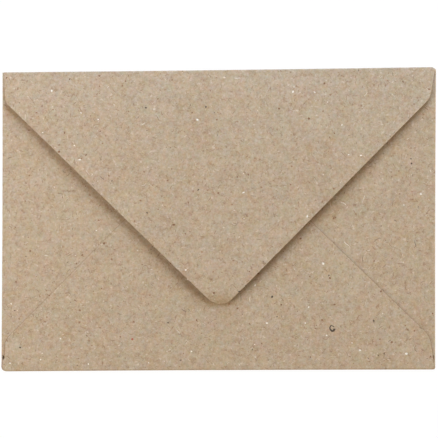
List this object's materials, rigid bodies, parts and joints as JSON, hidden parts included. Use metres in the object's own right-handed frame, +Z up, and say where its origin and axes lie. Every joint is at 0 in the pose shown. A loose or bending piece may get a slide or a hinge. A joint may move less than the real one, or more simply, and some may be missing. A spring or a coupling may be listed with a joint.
{
  "type": "envelope",
  "caption": "Small kraft paper envelope with a pointed gummed flap that opens on its top crease.",
  "frame": {"origin": "on the table, under the middle of the envelope, on the outer face of the front panel", "axes": "+X along the width, to the right seen from the back of the envelope; +Y towards the top crease, which the closure flap turns on; +Z up, out of the back of the envelope"},
  "size_m": [0.165, 0.1142, 0.0041],
  "materials": {
    "kraft_front": "matte",
    "kraft_back": "matte",
    "kraft_flap": "matte",
    "seam_glue": "satin",
    "flap_gum": "satin"
  },
  "bodies": {
    "envelope": {"front_panel": "kraft_front", "left_crease": "kraft_back", "right_crease": "kraft_back", "bottom_crease": "kraft_back", "top_crease": "kraft_flap", "left_side_flap": "kraft_back", "right_side_flap": "kraft_back", "bottom_flap": "kraft_back", "left_seam_glue": "seam_glue", "right_seam_glue": "seam_glue"},
    "flap": {"closure_flap": "kraft_flap", "flap_gum": "flap_gum"}
  },
  "joints": [
    {"name": "flap_hinge", "type": "hinge", "parent": "envelope", "child": "flap", "pos_m": [0, 0.05643, 0.00072], "axis": [-1, 0, 0], "range_deg": [0, 172], "deforming": ["top_crease"]}
  ]
}
